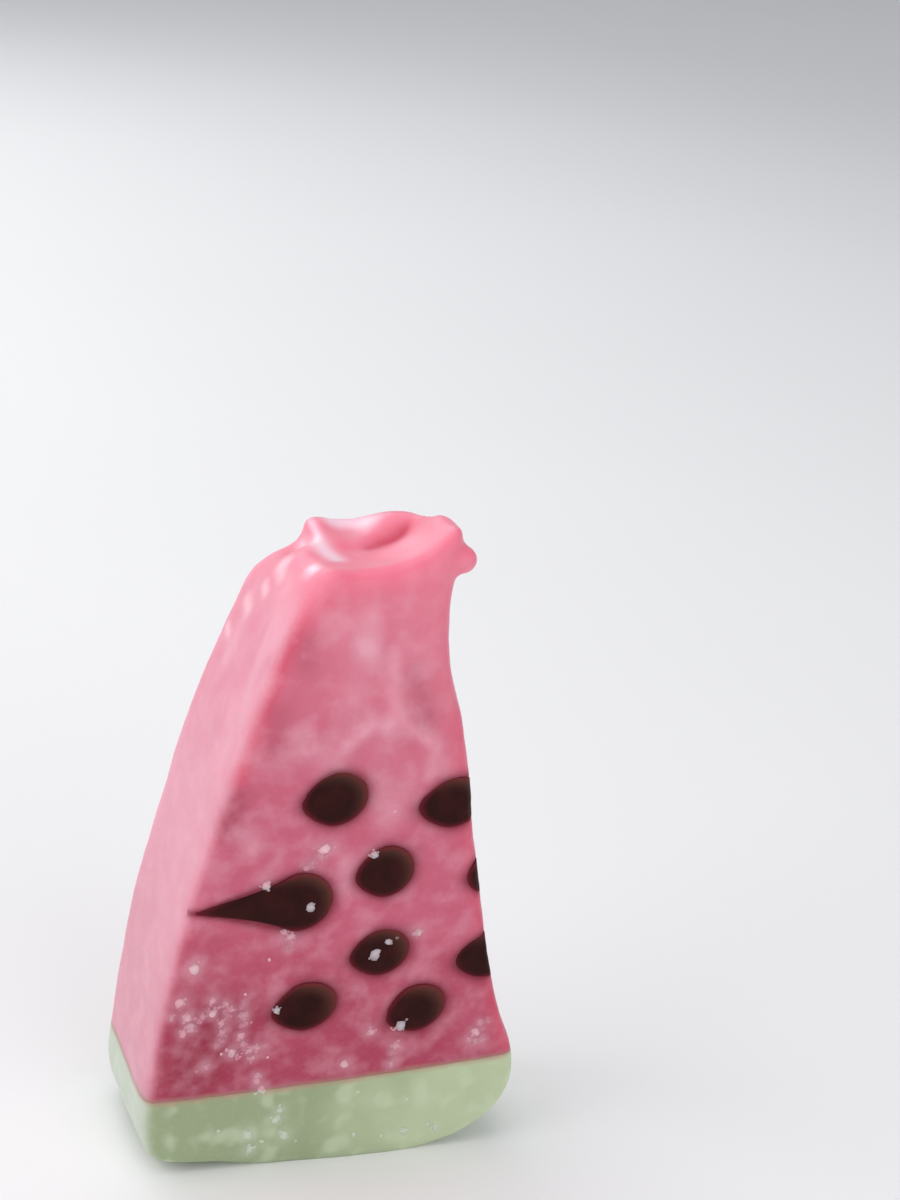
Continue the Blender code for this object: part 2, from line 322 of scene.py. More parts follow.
# %% [markdown]
# ## The bite
#
# Teeth and tongue take scoops. Each scoop is a ball, stretched and turned, and cut out of the slab. The
# first is the hollow in the middle, the next lowers the back left, two very large ones round off the
# ridge on the right, and the last is the short deep groove in the middle of the bite.

# %% Scoops
# Each scoop: its middle, its three radii and its turn in degrees.
SCOOPS = (
    ((-0.0060, -0.0010, 0.1122), (0.0178, 0.0220, 0.0160), 0.0),
    ((-0.0168, 0.0120, 0.1050), (0.0098, 0.0180, 0.0150), 0.0),
    ((0.0000, 0.0292, 0.1552), (0.0600, 0.0600, 0.0600), 0.0),
    ((0.0080, -0.0120, 0.1456), (0.0400, 0.0400, 0.0400), 0.0),
    ((0.0024, 0.0012, 0.0984), (0.0056, 0.0017, 0.0030), 22.0),
)


def ball(name, middle, radii, degrees=0.0):
    """A stretched ball, turned about the vertical."""
    bpy.ops.mesh.primitive_uv_sphere_add(segments=64, ring_count=32, radius=1.0)
    made = bpy.context.object
    made.name = name
    made.scale = radii
    made.rotation_euler.z = math.radians(degrees)
    made.location = middle
    settle(made)
    return made


def carve(thing, operation, other, solver='MANIFOLD'):
    """Cuts another object out of this one, or joins them, and removes the other."""
    apply(thing, 'BOOLEAN', operation=operation, solver=solver, object=other)
    bpy.data.objects.remove(other, do_unlink=True)


for scoop in SCOOPS:
    carve(slab, 'DIFFERENCE', ball("scoop", *scoop), 'EXACT')
print("after the bite:", len(slab.data.vertices))

# %% [markdown]
# ## Melting
#
# Melting rounds every edge, and the bitten end most of all. The slab is rebuilt from small cubes, which
# gives it an even skin of points, and then smoothed: a few passes all over, and many more towards the
# top, where a vertex group says how far each point takes part. Smaller, later scoops stay crisper,
# because they are cut between the passes. One low lump is added there too, the square shoulder at the
# right of the bite.

# %% Melted skin
SMALL_SCOOPS = (
    ((-0.0105, 0.0088, 0.0955), (0.0036, 0.0050, 0.0030), 20.0),
    ((-0.0070, 0.0115, 0.0998), (0.0024, 0.0034, 0.0024), 0.0),
    ((-0.0022, 0.0070, 0.0996), (0.0046, 0.0060, 0.0035), -25.0),
)
SHOULDER = ((0.0083, -0.0050, 0.1012), (0.0022, 0.0054, 0.0024))
FIRST_VOXEL = 0.0006
EDGE_ROUNDS = 34
MELT_HEIGHTS = (0.050, 0.095)
MELT_ROUNDS = 48
LATE_HEIGHTS = (0.088, 0.092)
LATE_ROUNDS = 28


def rebuild(thing, size):
    apply(thing, 'REMESH', mode='VOXEL', voxel_size=size)


def smooth(thing, rounds, group=""):
    apply(thing, 'SMOOTH', factor=0.5, iterations=rounds, vertex_group=group)


def weigh(thing, name, weight):
    """A vertex group whose weight is a formula of the point."""
    group = thing.vertex_groups.new(name=name)
    for vertex in thing.data.vertices:
        group.add([vertex.index], weight(vertex), 'REPLACE')


def ramp(value, low, high):
    """0 below low, 1 above high, straight between."""
    return min(max((value - low) / (high - low), 0.0), 1.0)


def weigh_by_height(thing, name, heights):
    """A vertex group that rises from 0 to 1 between two heights."""
    weigh(thing, name, lambda vertex: ramp(vertex.co.z, *heights))


rebuild(slab, FIRST_VOXEL)
weigh_by_height(slab, "melted", MELT_HEIGHTS)
smooth(slab, EDGE_ROUNDS)
smooth(slab, MELT_ROUNDS, "melted")
for scoop in SMALL_SCOOPS:
    carve(slab, 'DIFFERENCE', ball("small_scoop", *scoop))
carve(slab, 'UNION', ball("shoulder", *SHOULDER))
rebuild(slab, FIRST_VOXEL)
weigh_by_height(slab, "late", LATE_HEIGHTS)
smooth(slab, LATE_ROUNDS, "late")
print("melted skin:", len(slab.data.vertices))

# %% [markdown]
# ## Waves
#
# Ice that has begun to melt is never flat. Displace modifiers with cloud textures move the skin along its
# own direction: long waves and very small ones all over, and middling ones only where a tongue has been.
# A few more rounds of smoothing take the crinkles off the thin crest on the right. A frozen drip hangs at
# the rim there, a small ball that is joined on last, so that it stays crisp.

# %% Waves
LICKED_HEIGHTS = (0.066, 0.088)
CREST_HEIGHTS = (0.092, 0.097)
CREST_ROUNDS = 12
DRIP_PLACE = (0.0096, -0.0098, 0.0989)
DRIP_RADIUS = 0.0021
DRIP_ROUNDS = 3


def clouds(name, size):
    texture = bpy.data.textures.new(name, 'CLOUDS')
    texture.noise_scale = size
    texture.noise_depth = 1
    return texture


def wave(thing, name, size, strength, group=""):
    apply(thing, 'DISPLACE', texture=clouds(name, size), texture_coords='LOCAL', strength=strength,
          mid_level=0.5, vertex_group=group)


weigh_by_height(slab, "licked", LICKED_HEIGHTS)
wave(slab, "long_waves", size=0.018, strength=0.0007)
wave(slab, "licked_waves", size=0.0065, strength=0.0007, group="licked")
wave(slab, "small_waves", size=0.0030, strength=0.0002)
weigh_by_height(slab, "crest", CREST_HEIGHTS)
smooth(slab, CREST_ROUNDS, "crest")
carve(slab, 'UNION', ball("drip", DRIP_PLACE, (DRIP_RADIUS,) * 3))
rebuild(slab, FIRST_VOXEL)
smooth(slab, DRIP_ROUNDS)
print("waves done, points:", len(slab.data.vertices))

# %% [markdown]
# ## Chocolate seeds
#
# The seeds are chocolate drops that lie in the face of the ice: a round end, and a tip that points left.
# Each starts as a ball. Its points are drawn in towards the tip, and its outer half is pressed nearly
# flat, so that it stands out of the ice by a fraction of a millimetre. Its hollow in the ice is cut with
# the same form. A seed at the right-hand corner is trimmed by a copy of the slab that is a hair thicker
# from front to back, so that the cut end is flush with the side. One seed smeared into a long tail.

# %% Sizes and places of the seeds
SEED_DEPTH = 0.0034
SEED_TIP = 0.30
SEED_TAPER = 1.5
SEED_DOME = 0.00028
TAIL_FROM = 0.35
TAIL_THINNING = 0.55
TRIM_ROOM = 0.00035
# Each row: the x and z of the seed's middle, its length, its height and its tilt in degrees.
SEED_ROWS = (
    (-0.0058, 0.0627, 0.0100, 0.0088, 9.0),
    (0.0126, 0.0612, 0.0104, 0.0082, 9.0),
    (0.0034, 0.0502, 0.0092, 0.0085, 11.0),
    (0.0215, 0.0490, 0.0098, 0.0082, 10.0),
    (0.0044, 0.0363, 0.0096, 0.0080, 9.0),
    (0.0218, 0.0343, 0.0101, 0.0079, 8.0),
    (-0.0065, 0.0279, 0.0102, 0.0082, 10.0),
    (0.0115, 0.0260, 0.0097, 0.0081, 20.0),
)
TEAR = (-0.0094, 0.0459, 0.0106, 0.0096, 3.0)
TEAR_TAIL = 0.0102
BACK_ROWS = (
    (0.0062, 0.0640, 0.0100, 0.0086, 8.0),
    (-0.0090, 0.0600, 0.0104, 0.0084, 12.0),
    (0.0005, 0.0498, 0.0096, 0.0086, 9.0),
    (0.0142, 0.0440, 0.0098, 0.0082, 6.0),
    (-0.0150, 0.0432, 0.0102, 0.0084, 10.0),
    (-0.0030, 0.0335, 0.0099, 0.0081, 12.0),
    (0.0120, 0.0290, 0.0104, 0.0083, 9.0),
    (-0.0178, 0.0278, 0.0100, 0.0084, 14.0),
)
seed_plan = [(f"seed_front_{number}", row, FRONT, 0.0) for number, row in enumerate(SEED_ROWS, 1)]
seed_plan += [(f"seed_back_{number}", row, BACK, 0.0) for number, row in enumerate(BACK_ROWS, 1)]
seed_plan.append(("seed_smeared", TEAR, FRONT, TEAR_TAIL))
print("seeds planned:", len(seed_plan))

# %% Form of a seed
def copy_of(thing, name):
    made = thing.copy()
    made.data = thing.data.copy()
    made.name = name
    bpy.context.collection.objects.link(made)
    return made


def face_depth(side, x, z):
    """The y of the slab's front or back at this width and height, or of a plain slab's beside it."""
    hit, place, _normal, _face = slab.ray_cast((x, side * 2 * THICKNESS, z), (0.0, -side, 0.0))
    return place.y if hit else side * THICKNESS / 2


def tail_shape(along, tail):
    """How far a point of the tip end is drawn out, and how thin it is. along runs from -1 to 1."""
    towards_tip = max(-along - TAIL_FROM, 0.0) / (1.0 - TAIL_FROM)
    return tail * towards_tip, 1.0 - TAIL_THINNING * towards_tip if tail else 1.0


def seed_form(name, row, side, tail, grow, dome):
    """A drop in the face of the slab. dome is how far its outer half stands out."""
    x, z, length, height, degrees = row
    bpy.ops.mesh.primitive_uv_sphere_add(segments=56, ring_count=28, radius=1.0,
                                         rotation=(0.0, math.radians(90), 0.0))
    made = bpy.context.object
    made.name = name
    settle(made)
    for vertex in made.data.vertices:
        along = vertex.co.x
        narrow = 1.0 - SEED_TIP * max(-along, 0.0) ** SEED_TAPER
        reach, thin = tail_shape(along, tail)
        depth = dome if vertex.co.y * FRONT > 0 else SEED_DEPTH + grow
        vertex.co.x = along * (length / 2 + grow + reach)
        vertex.co.y *= depth * narrow * thin
        vertex.co.z *= (height / 2 + grow) * narrow * thin
    made.rotation_euler = (0.0, -math.radians(degrees), math.pi if side == BACK else 0.0)
    made.location = (x, face_depth(side, x, z), z)
    settle(made)
    return made


print("seed form ready")

# %% Seeds
trimmer = copy_of(slab, "trimmer")
weigh(trimmer, "faces", lambda vertex: abs(vertex.normal.y) ** 3)
apply(trimmer, 'DISPLACE', strength=TRIM_ROOM, mid_level=0.0, vertex_group="faces")
seeds = {}
for name, row, side, tail in seed_plan:
    seed = seed_form(name + "_chocolate", row, side, tail, 0.0, SEED_DOME)
    apply(seed, 'BOOLEAN', operation='INTERSECT', solver='MANIFOLD', object=trimmer)
    seeds[name] = seed
bpy.data.objects.remove(trimmer, do_unlink=True)
print("seeds:", {name: len(seed.data.vertices) for name, seed in seeds.items()})

# %% [markdown]
# ## Hollows for the seeds
#
# The hollows are cut with the seeds' own forms, a hair smaller, so that the ice closes round each seed
# without a gap. Then the skin is rebuilt once more with smaller cubes, so that the rim of each hollow has
# points of its own, and a short smoothing softens those rims.

# %% Hollows
SECOND_VOXEL = 0.00045
HOLLOW_GROW = -0.00035
HOLLOW_DOME = 0.003
RIM_ROUNDS = 3
for name, row, side, tail in seed_plan:
    carve(slab, 'DIFFERENCE', seed_form("hollow", row, side, tail, HOLLOW_GROW, HOLLOW_DOME))
rebuild(slab, SECOND_VOXEL)
smooth(slab, RIM_ROUNDS)
print("skin with hollows:", len(slab.data.vertices))

# %% [markdown]
# ## Lick mark
#
# On the right of the front a tongue or a tooth has pressed a short slanting dent, with a soft raised edge
# below it. This is like pushing clay with a finger: points near a line move, and their neighbours follow
# less and less, as in proportional editing. The lines run through (x, z) points in millimetres.

# %% Press the lick mark
PRESS_STEPS = 8
PRESS_REACH = 2.5
FRONT_ZONE = -0.4 * THICKNESS


def along_line(points, count):
    """Places spread evenly along a line through (x, z) points on the front."""
    places = []
    for (x1, z1), (x2, z2) in zip(points, points[1:]):
        for step in range(count):
            share = step / count
            places.append((x1 + (x2 - x1) * share, z1 + (z2 - z1) * share))
    return [*places, points[-1]]


def press(thing, points, width, depth):
    """Pushes the front in along a line, or draws it out where depth is negative."""
    line = along_line([(x * MM, z * MM) for x, z in points], PRESS_STEPS)
    near = PRESS_REACH * width
    for vertex in thing.data.vertices:
        place = vertex.co
        if place.y > FRONT_ZONE:
            continue
        gap = min(math.hypot(place.x - x, place.z - z) for x, z in line)
        if gap < near:
            place.y += depth * math.exp(-(gap / width) ** 2)


press(slab, ((3.6, 82.6), (5.4, 78.6), (7.0, 74.9)), width=0.0020, depth=0.0007)
press(slab, ((1.0, 79.5), (2.8, 75.2), (5.6, 72.8), (8.4, 70.6)), width=0.0012, depth=-0.0005)
press(slab, ((-8.1, 68.3), (-3.9, 72.6), (1.3, 75.2)), width=0.0016, depth=-0.00025)
print("lick mark pressed")

# %% [markdown]
# ## Two ices
#
# The slab is one piece up to here, so that its faces run on across the line where the ices meet. Two
# blocks with the same slightly hanging, rising face cut it in two: one keeps what is above, the other
# what is below, down to a flat spot on the floor.

# %% Cut the slab in two
MEET_HEIGHT = 0.0148
MEET_RISE_X = 0.055
MEET_SAG = 0.0007
MEET_HALF_WIDTH = THICKNESS * 1.2
HAIR = 0.00001
BLOCK_WIDTH = 0.080
BLOCK_PAST = 0.02
FLOOR_BLOCK = 0.1


def meeting_height(x):
    span = x / MEET_HALF_WIDTH
    return MEET_HEIGHT + MEET_RISE_X * x - MEET_SAG * (1.0 - min(span * span, 1.0))


def half_space(above):
    """A block with the meeting surface as its lower or its upper face."""
    bpy.ops.mesh.primitive_grid_add(x_subdivisions=24, y_subdivisions=2, size=BLOCK_WIDTH)
    block = bpy.context.object
    for vertex in block.data.vertices:
        vertex.co.z = meeting_height(vertex.co.x) + (HAIR if above else -HAIR)
    far = SLAB_TOP + BLOCK_PAST if above else -BLOCK_PAST
    bpy.ops.object.mode_set(mode='EDIT')
    bpy.ops.mesh.select_all(action='SELECT')
    bpy.ops.mesh.extrude_region_move(TRANSFORM_OT_translate={"value": (0.0, 0.0, far)})
    bpy.ops.mesh.select_all(action='SELECT')
    bpy.ops.mesh.normals_make_consistent(inside=False)
    bpy.ops.object.mode_set(mode='OBJECT')
    return block


flesh = copy_of(slab, "pink_ice_body")
rind = slab
rind.name = "green_ice_base"
carve(flesh, 'INTERSECT', half_space(True))
carve(rind, 'INTERSECT', half_space(False))
bpy.ops.mesh.primitive_cube_add(size=FLOOR_BLOCK, location=(0.0, 0.0, FLOOR_BLOCK / 2))
carve(rind, 'INTERSECT', bpy.context.object)
print("flesh", len(flesh.data.vertices), "rind", len(rind.data.vertices))

# %% [markdown]
# ## Where frost lies
#
# Frost breaks up into crumbs of white ice, from a grain of sand to a rice grain in size. The large ones
# stand at known places. Low on the left they lie in slanting strings. The rest is a seeded scatter over
# the foot of the pink ice and the green base, kept clear of the seeds and of the line between the ices.

# %% Patches, large crumbs and strings
FROST_SEED = 11
STRING_SEEDS = {FRONT: 5, BACK: 6}
# Each patch: the x and z of its middle, half its width, half its height, and how many crumbs it has.
FROST_PATCHES = (
    (-0.0200, 0.0275, 0.0070, 0.0045, 8),
    (-0.0165, 0.0215, 0.0070, 0.0050, 6),
    (0.0080, 0.0200, 0.0160, 0.0035, 6),
    (0.0060, 0.0075, 0.0230, 0.0050, 7),
)
FROST_PATCHES_BACK = (
    (0.0060, 0.0220, 0.0180, 0.0060, 8),
    (-0.0040, 0.0075, 0.0220, 0.0045, 4),
)
# Each large crumb: its x, its z and its size. The strings run through (x, z) points in millimetres.
FROST_LARGE = (
    (-0.0065, 0.0545, 0.0012), (-0.0241, 0.0358, 0.0011), (0.0136, 0.0568, 0.0010),
    (0.0098, 0.0213, 0.0011), (0.0102, 0.0394, 0.0009), (0.0222, 0.0208, 0.0009),
)
FROST_ON_SEEDS = (
    (0.0037, 0.0364, 0.0011), (0.0055, 0.0382, 0.0007), (-0.0146, 0.0490, 0.0009),
    (-0.0076, 0.0452, 0.0009), (-0.0108, 0.0278, 0.0007), (0.0013, 0.0533, 0.0008),
    (0.0094, 0.0233, 0.0011),
)
FROST_STRINGS = (
    ((-24.9, 24.8), (-22.7, 26.8), (-20.7, 29.9)),
    ((-19.2, 22.1), (-19.2, 24.7), (-18.4, 29.7)),
    ((-15.2, 25.5), (-16.1, 29.3)),
    ((-15.6, 22.4), (-12.4, 21.2)),
    ((-12.4, 16.3), (-11.9, 14.2)),
    ((-10.8, 41.2), (-9.8, 39.6), (-10.2, 37.6)),
    ((21.6, 19.2), (23.0, 19.6), (23.9, 22.4)),
    ((8.7, 16.0), (9.3, 19.1)),
    ((-9.2, 51.6), (-7.2, 53.2)),
)
STRING_STEP = 0.0010
STRING_STRAY = 0.0004
STRING_SIZES = (0.0004, 0.0008)
SCATTER_SIZES = (0.0006, 0.0010)
LINE_GAP = 0.0006
print("large crumbs:", len(FROST_LARGE + FROST_ON_SEEDS), "strings:", len(FROST_STRINGS))

# %% Frost places
def keeps_clear(spot, side, taken):
    """True where a crumb touches no seed, no other crumb and not the line between the ices."""
    x, z, size = spot
    for _, (seed_x, seed_z, length, _height, _tilt), seed_side, tail in seed_plan:
        if side == seed_side and abs(z - seed_z) < length / 2 + size:
            if -length / 2 - tail - size < x - seed_x < length / 2 + size:
                return False
    if abs(z - meeting_height(x)) < size + LINE_GAP:
        return False
    return all(math.hypot(x - a, z - b) > size + c for a, b, c in taken)


def scatter(patches, side):
    """The large crumbs, then a seeded scatter over the patches."""
    own_draw = random.Random(FROST_SEED)
    spots = [spot for spot in FROST_LARGE if keeps_clear(spot, side, ())]
    for x, z, half_width, half_height, count in patches:
        for _ in range(count):
            spot_x = x + own_draw.uniform(-half_width, half_width)
            spot_z = z + own_draw.uniform(-half_height, half_height)
            spot = (spot_x, spot_z, own_draw.uniform(*SCATTER_SIZES))
            if keeps_clear(spot, side, spots):
                spots.append(spot)
    return spots


def string_spots(side):
    """Crumbs along the strings, each a little off the line, but none on a seed of the back."""
    own_draw = random.Random(STRING_SEEDS[side])
    spots = []
    for string in FROST_STRINGS:
        ends = [(x * MM, z * MM) for x, z in string]
        reach = math.dist(ends[0], ends[-1])
        for x, z in along_line(ends, max(round(reach / STRING_STEP / (len(ends) - 1)), 1)):
            spot_x = x + own_draw.uniform(-STRING_STRAY, STRING_STRAY)
            spot_z = z + own_draw.uniform(-STRING_STRAY, STRING_STRAY)
            spot = (spot_x, spot_z, own_draw.uniform(*STRING_SIZES))
            if side == FRONT or keeps_clear(spot, BACK, ()):
                spots.append(spot)
    return spots


frost_spots = {
    FRONT: [*scatter(FROST_PATCHES, FRONT), *FROST_ON_SEEDS, *string_spots(FRONT)],
    BACK: [*scatter(FROST_PATCHES_BACK, BACK), *string_spots(BACK)],
}
print("frost places:", {side: len(spots) for side, spots in frost_spots.items()})

# %% [markdown]
# ## Lines drawn on the skin
#
# Some colours are tied to places: pale smears left by a tongue, deep and red places, with painted shade
# in the lick mark's dent, painted highlights and painted shade in the hollows and the groove of the
# bite, and painted highlights on the left. Each is drawn as a line through points in millimetres, with
# a width: (x, z) on the front, (x, y) on the bite, and (y, z) on the left-hand side. A formula then gives
# any point of the skin a number, 1 on the line and falling to 0 beside it.

# %% Lines drawn on the skin
SMEARS = (
    (((0.1, 86.1), (1.4, 78.3), (3.1, 74.7), (6.1, 73.0), (8.7, 70.8), (8.3, 66.0)), 1.3, 1.0),
    (((-8.1, 68.3), (-5.7, 70.8), (-3.9, 72.6), (-1.8, 74.6), (1.3, 74.8)), 1.3, 1.0),
    (((-4.5, 90.5), (-4.5, 87.0)), 2.4, 1.0),
    (((-12.5, 72.4), (-7.0, 69.0)), 2.6, 1.0),
    (((1.0, 63.0), (3.4, 60.0)), 2.4, 1.0),
    (((-2.6, 52.0), (-1.6, 49.6)), 2.0, 1.0),
    (((-18.4, 57.6), (-17.4, 55.6)), 1.8, 1.0),
)
# The first is painted shade in the lick mark's dent; the others darken the left front edge and low left.
DEEP_AND_SHADED_PLACES = (
    (((4.4, 81.8), (5.9, 78.1), (7.1, 75.2)), 2.2, 0.36),
    (((-13.4, 87.5), (-12.8, 84.5)), 2.6, 0.36),
    (((-15.9, 76.5), (-15.6, 71.5)), 2.6, 0.34),
    (((-20.5, 63.5), (-21.6, 58.7)), 2.2, 0.60),
    (((-20.0, 26.0), (-22.4, 18.0)), 6.0, 1.0),
)
RED_PLACES = (
    (((-10.2, 94.8), (-10.0, 93.4)), 1.4, 1.0),
    (((-12.9, 95.0), (-16.1, 84.1), (-17.9, 78.2), (-20.5, 66.5)), 1.3, 1.0),
)
# Painted glints on the left-hand side, under the rim of the bite.
LEFT_GLINTS = (
    (((0.3, 92.6), (2.6, 93.0)), 1.2),
    (((2.0, 89.3), (3.3, 89.8)), 0.9),
    (((4.9, 85.4), (6.6, 86.0)), 1.1),
    (((7.6, 80.5), (8.8, 80.9)), 0.9),
)
# Painted shade: deep red in the groove of the bite.
GROOVE_SHADE = (
    (((-0.6, 0.2), (2.0, 1.5), (5.0, 2.4)), 1.3),
)
# Painted shade: a deeper pink in the hollows of the bite.
SHADED_HOLLOWS = (
    (((-5.0, 8.6), (-3.9, 5.0), (-3.9, 1.0)), 1.3),
    (((-1.5, -3.0), (1.5, -1.8)), 1.5),
    (((6.4, 1.9), (8.6, -1.0)), 1.5),
)
# Painted highlights on the bite: the long gleam, a pale lit slope and two glints on the left rim. The gleam
# also gets a clear coat.
GLEAM = (
    (((-7.6, 8.6), (-7.7, 4.2), (-7.6, 0.5), (-7.1, -3.6)), 1.4),
)
GLINT_PLACES = (
    *GLEAM,
    (((-3.4, 9.8), (-1.0, 9.6), (1.0, 8.2)), 2.0),
    (((-12.9, 2.2), (-12.9, 1.0)), 0.9),
    (((-11.4, -5.8), (-11.4, -7.0)), 0.9),
)
print("smears:", len(SMEARS), "deep and red places:", len(DEEP_AND_SHADED_PLACES) + len(RED_PLACES))

# %% Formulas for drawn lines
def line_closeness(right, up, points, width):
    """1 on a line, falling to 0 over its width. right and up say where, in metres."""
    gap = math.inf
    for (x1, z1), (x2, z2) in zip(points, points[1:]):
        line_x, line_z = x2 - x1, z2 - z1
        x, z = right / MM - x1, up / MM - z1
        share = (x * line_x + z * line_z) / (line_x * line_x + line_z * line_z)
        share = min(max(share, 0.0), 1.0)
        gap = min(gap, math.hypot(x - share * line_x, z - share * line_z))
    return math.exp(-(gap / width) ** 2)


def drawn(lines):
    """A formula for lines on the front. Each line's third value is how strong it is."""
    def formula(place, normal):
        if place.y > 0.0 or normal.y > -0.3:
            return 0.0
        return max(line_closeness(place.x, place.z, points, width) * strength
                   for points, width, strength in lines)
    return formula


def on_bite(lines):
    """A formula for lines over the bite."""
    def formula(place, normal):
        facing_up = ramp(normal.z, 0.1, 0.6) * ramp(place.z, 0.091, 0.095)
        if facing_up == 0.0:
            return 0.0
        return facing_up * max(line_closeness(place.x, place.y, *line) for line in lines)
    return formula


def on_left(lines):
    """A formula for lines on the left-hand side."""
    def formula(place, normal):
        facing_left = ramp(-normal.x, 0.2, 0.6)
        if facing_left == 0.0:
            return 0.0
        return facing_left * max(line_closeness(place.y, place.z, *line) for line in lines)
    return formula


print("formulas for lines ready")

# %% [markdown]
# ## Values that follow the form
#
# Other colours follow what is near: a dark stain round each seed, a painted red glow of light through
# the rim on the right, a white breath of frost round each crumb, the wet pink of the bite, the narrow
# sides made paler by frost and painted sheen, and the line between the two ices.

# %% Stain round the seeds
HALO_REACH = 0.0009
HALO_POWER = 1.3
SEEDS_TOP = 0.075
TAIL_NARROWING = 0.80


def seed_distance(place, row, side, tail):
    """About how far a place on the face is from the rim of a seed, less than 0 inside it."""
    x, z, length, height, degrees = row
    tilt = math.radians(degrees)
    right = (place.x - x) * -side
    up = place.z - z
    along = right * math.cos(tilt) + up * math.sin(tilt)
    across = up * math.cos(tilt) - right * math.sin(tilt)
    reach = length / 2
    share = min(max(-along / reach, 0.0), 1.0)
    narrow = 1.0 - SEED_TIP * share ** SEED_TAPER
    if tail and along < 0.0:
        reach += tail
        share = min(-along / reach, 1.0)
        narrow = 1.0 - TAIL_NARROWING * share
    far = math.hypot(along / reach, across / (height / 2 * narrow))
    return (far - 1.0) * height / 2


def nearest_seed(place, side):
    return min(seed_distance(place, row, way, tail) for _, row, way, tail in seed_plan if way == side)


def side_of(place):
    return FRONT if place.y < 0 else BACK


def halo(place, normal):
    """1 at the rim of a seed, falling to 0 outwards."""
    if abs(normal.y) < 0.5 or place.z > SEEDS_TOP:
        return 0.0
    return math.exp(-(max(nearest_seed(place, side_of(place)), 0.0) / HALO_REACH) ** HALO_POWER)


print("reach of the stain, mm:", round(HALO_REACH / MM, 2))

# %% Bite, edges and sides
EDGE_FOOT_X = 0.0299
EDGE_LEAN = 0.0215
EDGE_WIDTH = 0.0045


def bitten(place, normal):
    """1 over the bite and on the rims round it, fading out below."""
    return ramp(place.z, 0.088, 0.096) * (0.35 + 0.65 * ramp(normal.z, -0.1, 0.5))


# Painted glow: red light shining through the thin ice at the right-hand rim.
def right_edge(place, normal):
    """How near a point on the front is to the right-hand corner. It fades out round the corner."""
    edge = EDGE_FOOT_X - EDGE_LEAN * ramp(place.z, 0.014, 0.088)
    paler = (1.0 - 0.7 * ramp(normal.x, 0.6, 0.95)) * (1.0 - 0.5 * ramp(place.z, 0.060, 0.080))
    return ramp(place.x, edge - EDGE_WIDTH, edge) * paler


def side_frost_and_sheen(place, normal):
    """Painted sheen and frost: 1 on the left-hand side, and somewhat less on the right-hand one."""
    return max(ramp(-normal.x, 0.15, 0.85), 0.6 * ramp(normal.x, 0.5, 0.95))


def above_line(place, normal):
    """Height over the line between the ices, in millimetres."""
    return (place.z - meeting_height(place.x)) / MM


print("width of the red edge, mm:", round(EDGE_WIDTH / MM, 2))

# %% Breath of frost round the crumbs
FROSTED_REACH = 1.6
frost_near = {}
for side, spots in frost_spots.items():
    frost_near[side] = kdtree.KDTree(len(spots))
    for number, (x, z, size) in enumerate(spots):
        frost_near[side].insert((x, 0.0, z), number)
    frost_near[side].balance()


def nearest_crumb(place):
    """How far the nearest crumb's middle is, and that crumb's size."""
    side = side_of(place)
    _place, number, gap = frost_near[side].find((place.x, 0.0, place.z))
    return gap, frost_spots[side][number][2]


def frosted(place, normal):
    """1 under a crumb, falling to 0 beside it."""
    if abs(normal.y) < 0.4:
        return 0.0
    gap, size = nearest_crumb(place)
    return math.exp(-(gap / (FROSTED_REACH * size)) ** 2)


print("crumbs to look up:", sum(len(spots) for spots in frost_spots.values()))

# %% [markdown]
# ## Attributes
#
# Each formula is worked out for every point of the two ices and stored on the mesh. The materials read
# these values by name.

# %% Attributes
PINK_FORMULAS = {
    "halo": halo,
    "smear": drawn(SMEARS),
    "deep": drawn(DEEP_AND_SHADED_PLACES),
    "red": drawn(RED_PLACES),
    "groove": on_bite(GROOVE_SHADE),
    "hollow": on_bite(SHADED_HOLLOWS),
    "wet_film": on_bite(GLINT_PLACES),
    "gleam": on_bite(GLEAM),
    "left_spots": on_left(LEFT_GLINTS),
    "bitten": bitten,
    "right_edge": right_edge,
}
SHARED_FORMULAS = {"side": side_frost_and_sheen, "above_line": above_line, "frosted": frosted}


def store(thing, formulas):
    """Keeps formulas of place and outward direction as attributes of the mesh."""
    for name, formula in formulas.items():
        layer = thing.data.attributes.new(name, 'FLOAT', 'POINT')
        values = [formula(vertex.co, vertex.normal) for vertex in thing.data.vertices]
        layer.data.foreach_set("value", values)


store(flesh, PINK_FORMULAS)
store(flesh, SHARED_FORMULAS)
store(rind, SHARED_FORMULAS)
print("attributes:", [layer.name for layer in flesh.data.attributes])

# %% [markdown]
# ## Pink ice
#
# Ice lets light in a few millimetres and gives it back redder, which is what Subsurface does. Low down
# the ice is deep pink under a thin, patchy veil of frost, and the narrow sides are paler with frost and
# painted sheen. The pink grows paler upwards, partly where syrup has been sucked out and partly as
# painted light, with painted shade low down. Towards the bite the frost has melted, the pink is paler
# and the skin is wet, so the roughness falls and a clear coat comes in.

# %% Colours of the pink ice
DEEP_PINK = rgb(142, 36, 60)
LOW_PINK = rgb(176, 69, 94)
MIDDLE_PINK = rgb(204, 101, 126)
PALE_PINK = rgb(227, 127, 149)
VEIL_PINK = rgb(244, 190, 204)
FROST_PINK = rgb(228, 166, 180)
WET_PINK = rgb(248, 120, 146)
HOLLOW_SHADE_PINK = rgb(238, 108, 132)
GLINT_PINK = rgb(255, 218, 232)
GLINT_CREAM = rgb(255, 216, 222)
STAIN = rgb(122, 32, 48)
GLOW_RED = rgb(218, 66, 96)
GROOVE_SHADE_RED = rgb(208, 66, 92)
LINE_TAN = rgb(190, 142, 122)
# For each: the painted value, how strong it is, and the colour it brings.
# The deep pink includes painted shade in the lick mark's dent.
UNDER_VEIL = (("deep", 0.66, DEEP_PINK), ("red", 0.42, GLOW_RED))
